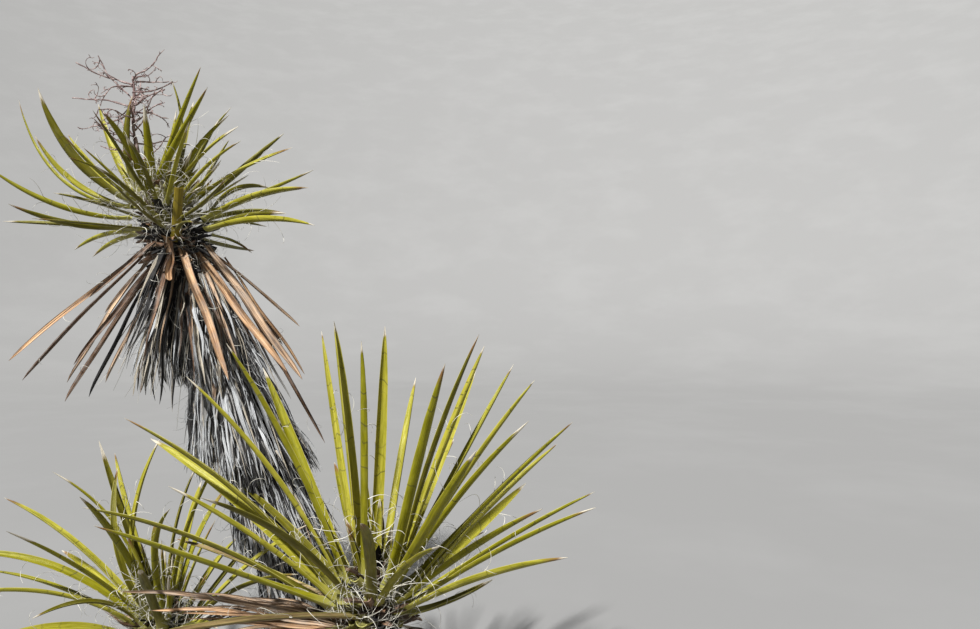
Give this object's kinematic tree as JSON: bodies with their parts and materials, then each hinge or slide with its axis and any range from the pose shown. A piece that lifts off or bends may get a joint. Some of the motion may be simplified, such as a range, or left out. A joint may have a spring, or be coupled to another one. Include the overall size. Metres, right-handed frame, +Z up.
{
  "type": "mojave yucca",
  "caption": "Yucca clump: leaning trunk in shaggy thatch, rosette of sword leaves over a skirt of dead ones, dry flower stalk, and low rosettes on side stems. For landscapes.",
  "frame": {"origin": "centre of the flat cut under the trunk, at ground level", "axes": "+Z up; the side that is seen first faces -Y, and the trunk leans towards -X"},
  "size_m": [1.8164, 1.5523, 1.8879],
  "materials": {
    "bark": "rough fibrous bark",
    "live_leaf": "waxy, satin",
    "tan_leaf": "dry, matt",
    "grey_leaf": "weathered, matt",
    "dry_stalk": "dry, matt"
  },
  "bodies": {
    "root": {"trunk": "bark", "front_stem": "bark", "left_stem": "bark", "flower_stalk": "dry_stalk", "thatch_1": "grey_leaf", "top_leaves_1": "live_leaf", "front_leaves_1": "live_leaf", "thatch_2": "grey_leaf", "top_leaves_2": "live_leaf", "front_leaves_2": "live_leaf", "thatch_3": "grey_leaf", "top_leaves_3": "live_leaf", "front_leaves_3": "live_leaf", "thatch_4": "grey_leaf", "top_leaves_4": "live_leaf", "front_leaves_4": "live_leaf", "left_leaves_1": "live_leaf", "left_leaves_2": "live_leaf", "left_leaves_3": "live_leaf", "tan_skirt_1": "tan_leaf", "tan_skirt_2": "tan_leaf", "grey_skirt_1": "grey_leaf", "front_skirt_1": "tan_leaf", "left_skirt_1": "tan_leaf"}
  },
  "joints": []
}
